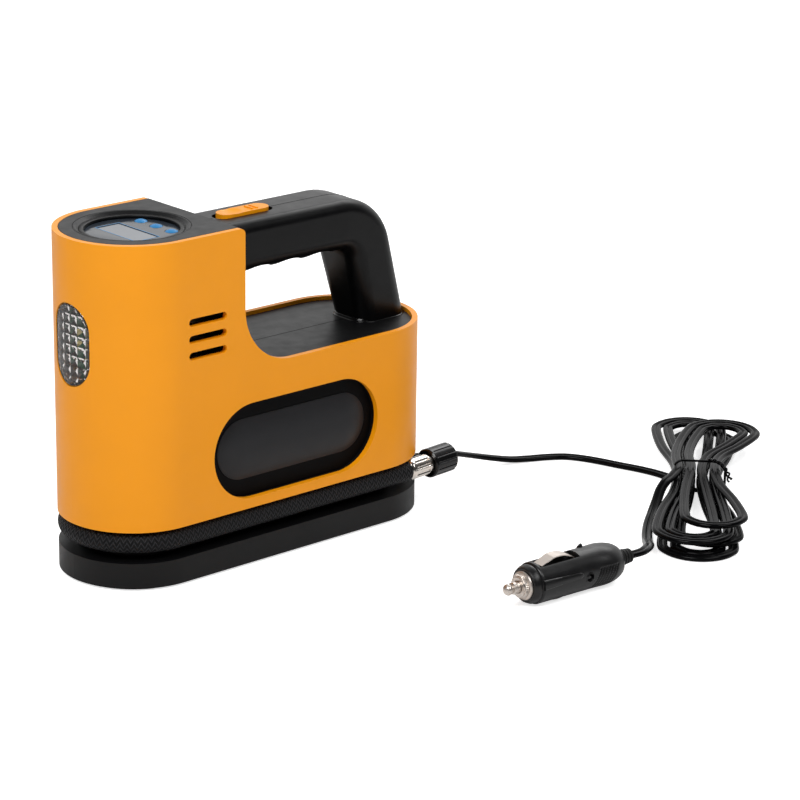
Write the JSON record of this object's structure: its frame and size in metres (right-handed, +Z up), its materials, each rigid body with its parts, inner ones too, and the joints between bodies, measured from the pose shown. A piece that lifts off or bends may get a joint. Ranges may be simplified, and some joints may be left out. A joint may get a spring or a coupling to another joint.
{
  "type": "portable tire inflator",
  "caption": "Portable 12 V tire inflator with a carrying handle, round display, work light, an air hose wound round its base and a coiled lead with a lighter plug.",
  "frame": {"origin": "middle of the base, on the surface it stands on", "axes": "+Z up, +X from the work light to the handle's leg, -Y to the side where the hose ends"},
  "size_m": [0.4147, 0.2266, 0.1761],
  "materials": {
    "orange_plastic": "satin moulded ABS",
    "black_plastic": "fine-grained moulded ABS",
    "handle_plastic": "satin moulded ABS",
    "feet_rubber": "soft moulded rubber",
    "screw_steel": "zinc-plated steel",
    "polished_steel": "ground steel",
    "display_panel": "smooth pale plastic",
    "display_window": "clear acrylic",
    "circuit_board": "solder-mask green",
    "blue_button": "glossy silicone",
    "clear_lens": "clear prism acrylic",
    "light_reflector": "white reflector",
    "lamp_board": "solder-mask green",
    "turned_brass": "turned brass",
    "cast_alloy": "as-cast alloy",
    "gear_nylon": "moulded nylon",
    "seal_plastic": "PTFE",
    "inner_tube": "translucent nylon tube",
    "hose_braid": "rubber under black braid",
    "bright_chrome": "bright chrome plating",
    "nut_plastic": "fluted nylon",
    "black_rubber": "moulded rubber",
    "lead_sheath": "satin PVC sheath",
    "twist_tie": "plastic-covered wire",
    "plug_plastic": "glossy moulded plastic",
    "fuse_glass": "glass fuse with caps"
  },
  "bodies": {
    "unit": {"shell_near": "orange_plastic", "shell_far": "orange_plastic", "housing_near": "black_plastic", "housing_far": "black_plastic", "handle_near": "handle_plastic", "handle_far": "handle_plastic", "rubber_feet": "feet_rubber", "housing_screws": "screw_steel", "display_panel": "display_panel", "display_window": "display_window", "display_board": "circuit_board", "switch_body": "black_plastic", "light_lens": "clear_lens", "light_tray": "light_reflector", "light_board": "lamp_board", "motor_can": "screw_steel", "compressor_frame": "cast_alloy", "gear_bearing": "turned_brass", "pump_cylinder": "cast_alloy", "pump_head": "cast_alloy", "head_screws": "screw_steel", "delivery_tube": "inner_tube", "outlet_elbow": "turned_brass", "control_board": "circuit_board", "air_hose": "hose_braid", "hose_sleeve": "bright_chrome", "valve_seal": "black_rubber", "lead_grommet": "black_rubber", "cord_lead": "lead_sheath", "cord_hank": "lead_sheath", "cord_tail": "lead_sheath", "cord_tie": "twist_tie", "plug_body_near": "plug_plastic", "plug_body_far": "plug_plastic", "plug_collar": "plug_plastic", "plug_nose_ring": "bright_chrome", "plug_tip_spring": "screw_steel", "plug_fuse": "fuse_glass", "plug_grommet": "black_rubber"},
    "slider": {"power_slider": "orange_plastic"},
    "button_left": {"button_left": "blue_button"},
    "button_centre": {"button_centre": "blue_button"},
    "button_right": {"button_right": "blue_button"},
    "rotor": {"motor_shaft": "polished_steel", "motor_pinion": "turned_brass"},
    "gear": {"drive_gear": "gear_nylon", "gear_shaft": "polished_steel"},
    "piston": {"piston_rod": "cast_alloy", "piston_seal": "seal_plastic"},
    "nut": {"valve_nut": "nut_plastic"},
    "tip": {"plug_tip": "bright_chrome"},
    "upper_contact": {"plug_contact_upper": "bright_chrome"},
    "lower_contact": {"plug_contact_lower": "bright_chrome"}
  },
  "joints": [
    {"name": "gear_spin", "type": "hinge", "parent": "unit", "child": "gear", "pos_m": [-0.031, 0, 0.062], "axis": [1, 0, 0], "continuous": true},
    {"name": "pinion_spin", "type": "hinge", "parent": "unit", "child": "rotor", "pos_m": [-0.031, 0, 0.034], "axis": [1, 0, 0], "continuous": true},
    {"name": "piston_slide", "type": "slide", "parent": "unit", "child": "piston", "axis": [0, 0, 1], "range_m": [0, 0.012]},
    {"name": "switch_slide", "type": "slide", "parent": "unit", "child": "slider", "axis": [1, 0, 0], "range_m": [-0.0022, 0.0022]},
    {"name": "button_left_press", "type": "slide", "parent": "unit", "child": "button_left", "axis": [0, 0, -1], "range_m": [0, 0.0008], "stiffness_N_per_m": 200, "springref_m": -0.001},
    {"name": "button_centre_press", "type": "slide", "parent": "unit", "child": "button_centre", "axis": [0, 0, -1], "range_m": [0, 0.0008], "stiffness_N_per_m": 200, "springref_m": -0.001},
    {"name": "button_right_press", "type": "slide", "parent": "unit", "child": "button_right", "axis": [0, 0, -1], "range_m": [0, 0.0008], "stiffness_N_per_m": 200, "springref_m": -0.001},
    {"name": "nut_spin", "type": "hinge", "parent": "unit", "child": "nut", "pos_m": [0.10392, -0.03176, 0.024], "axis": [0.9962, 0.0872, 0], "continuous": true},
    {"name": "plug_tip_press", "type": "slide", "parent": "unit", "child": "tip", "axis": [0.998, -0.0628, 0], "range_m": [0, 0.0025], "stiffness_N_per_m": 400, "springref_m": -0.001, "deforming": ["plug_tip_spring"]},
    {"name": "contact_upper_press", "type": "slide", "parent": "unit", "child": "upper_contact", "axis": [0, 0, -1], "range_m": [0, 0.001], "stiffness_N_per_m": 800, "springref_m": -0.0005},
    {"name": "contact_lower_press", "type": "slide", "parent": "unit", "child": "lower_contact", "axis": [0, 0, 1], "range_m": [0, 0.0003], "stiffness_N_per_m": 800, "springref_m": -0.0005}
  ],
  "couplings": [
    {"joint": "pinion_spin", "follows": "gear_spin", "ratio": -3.6667}
  ]
}
